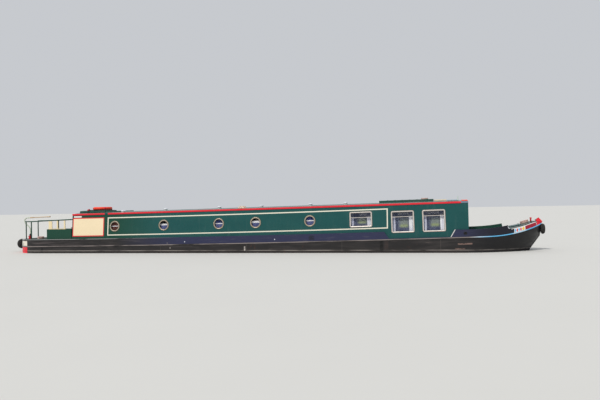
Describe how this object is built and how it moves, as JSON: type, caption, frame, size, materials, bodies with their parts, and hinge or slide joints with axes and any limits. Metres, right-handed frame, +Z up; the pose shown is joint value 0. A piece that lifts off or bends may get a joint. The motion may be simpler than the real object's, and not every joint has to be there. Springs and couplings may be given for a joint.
{
  "type": "narrowboat",
  "caption": "Steel canal narrowboat afloat: long cabin with portholes and windows, open stern deck with tiller, propeller and rudder, well deck at the bow.",
  "frame": {"origin": "on the waterline and the centreline, amidships to within 0.1 m", "axes": "+X forward to the bow, +Y to port, +Z up"},
  "size_m": [18.6643, 2.11, 2.3812],
  "materials": {
    "hull_black": "satin, chalked and scraped above the waterline",
    "cabin_green": "gloss",
    "rail_red": "gloss",
    "cream_paint": "gloss",
    "brass": "polished, weathered",
    "window_aluminium": "satin",
    "deck_paint": "matt, non-slip",
    "tiller_wood": "varnished",
    "black_rope": "matt",
    "orange_shell": "matt",
    "bronze": "dull",
    "engine_paint": "satin",
    "pale_rope": "matt",
    "floor_wood": "satin"
  },
  "bodies": {
    "boat": {"base_plate": "hull_black", "stem_post": "hull_black", "counter": "hull_black", "swim_shell": "hull_black", "stern_deck": "deck_paint", "fore_deck": "cabin_green", "well_deck": "deck_paint", "cabin_floor": "floor_wood", "cabin_roof": "cabin_green", "aft_bulkhead": "cabin_green", "fore_bulkhead": "cabin_green", "gangplank": "cabin_green", "engine": "engine_paint", "bow_fender": "black_rope", "stern_fender": "black_rope", "roof_rope": "pale_rope", "bow_rope": "pale_rope", "stern_rope": "pale_rope", "hull_side_starboard": "hull_black", "bow_plate_starboard": "hull_black", "cabin_side_starboard": "cabin_green", "handrail_starboard": "rail_red", "seat_locker_starboard": "cabin_green", "taffrail_starboard": "cabin_green", "backrest_starboard": "cream_paint", "porthole_starboard_1": "brass", "porthole_starboard_2": "brass", "porthole_starboard_3": "brass", "porthole_starboard_4": "brass", "porthole_starboard_5": "brass", "window_starboard_1": "window_aluminium", "window_starboard_2": "window_aluminium", "window_starboard_3": "window_aluminium", "hull_side_port": "hull_black", "bow_plate_port": "hull_black", "cabin_side_port": "cabin_green", "handrail_port": "rail_red", "seat_locker_port": "cabin_green", "taffrail_port": "cabin_green", "backrest_port": "cream_paint", "porthole_port_1": "brass", "porthole_port_2": "brass", "porthole_port_3": "brass", "porthole_port_4": "brass", "porthole_port_5": "brass", "window_port_1": "window_aluminium", "window_port_2": "window_aluminium", "window_port_3": "window_aluminium"},
    "steering": {"rudder": "hull_black", "tiller": "tiller_wood"},
    "propeller": {"propeller": "bronze"},
    "hatch": {"sliding_hatch": "cabin_green", "lifebuoy": "orange_shell"},
    "aft_door_starboard": {"aft_door_starboard": "cabin_green"},
    "aft_door_port": {"aft_door_port": "cabin_green"},
    "fore_door_starboard": {"fore_door_starboard": "cabin_green"},
    "fore_door_port": {"fore_door_port": "cabin_green"},
    "seat_lid_starboard": {"seat_lid_starboard": "cabin_green"},
    "seat_lid_port": {"seat_lid_port": "cabin_green"},
    "gas_locker_lid": {"gas_locker_lid": "cabin_green"}
  },
  "joints": [
    {"name": "rudder_stock", "type": "hinge", "parent": "boat", "child": "steering", "pos_m": [-8.93, 0, 0.047], "axis": [0, 0, 1], "range_deg": [-60, 60]},
    {"name": "propeller_shaft", "type": "hinge", "parent": "boat", "child": "propeller", "pos_m": [-8.715, 0, -0.328], "axis": [1, 0, 0], "continuous": true},
    {"name": "hatch_slide", "type": "slide", "parent": "boat", "child": "hatch", "axis": [0.9999, 0, 0.013], "range_m": [0, 0.63]},
    {"name": "aft_door_starboard_hinge", "type": "hinge", "parent": "boat", "child": "aft_door_starboard", "pos_m": [-6.6155, -0.362, 0.947], "axis": [0, 0, 1], "range_deg": [0, 105]},
    {"name": "aft_door_port_hinge", "type": "hinge", "parent": "boat", "child": "aft_door_port", "pos_m": [-6.6155, 0.362, 0.947], "axis": [0, 0, -1], "range_deg": [0, 105]},
    {"name": "fore_door_starboard_hinge", "type": "hinge", "parent": "boat", "child": "fore_door_starboard", "pos_m": [6.9155, -0.332, 0.847], "axis": [0, 0, -1], "range_deg": [0, 105]},
    {"name": "fore_door_port_hinge", "type": "hinge", "parent": "boat", "child": "fore_door_port", "pos_m": [6.9155, 0.332, 0.847], "axis": [0, 0, 1], "range_deg": [0, 105]},
    {"name": "seat_lid_starboard_hinge", "type": "hinge", "parent": "boat", "child": "seat_lid_starboard", "pos_m": [-7.105, -0.8535, 0.84309], "axis": [1, 0, 0], "range_deg": [0, 90]},
    {"name": "seat_lid_port_hinge", "type": "hinge", "parent": "boat", "child": "seat_lid_port", "pos_m": [-7.105, 0.8535, 0.84309], "axis": [-1, 0, 0], "range_deg": [0, 90]},
    {"name": "gas_locker_hinge", "type": "hinge", "parent": "boat", "child": "gas_locker_lid", "pos_m": [8.15, 0, 0.74419], "axis": [0, -1, 0], "range_deg": [0, 100]}
  ]
}
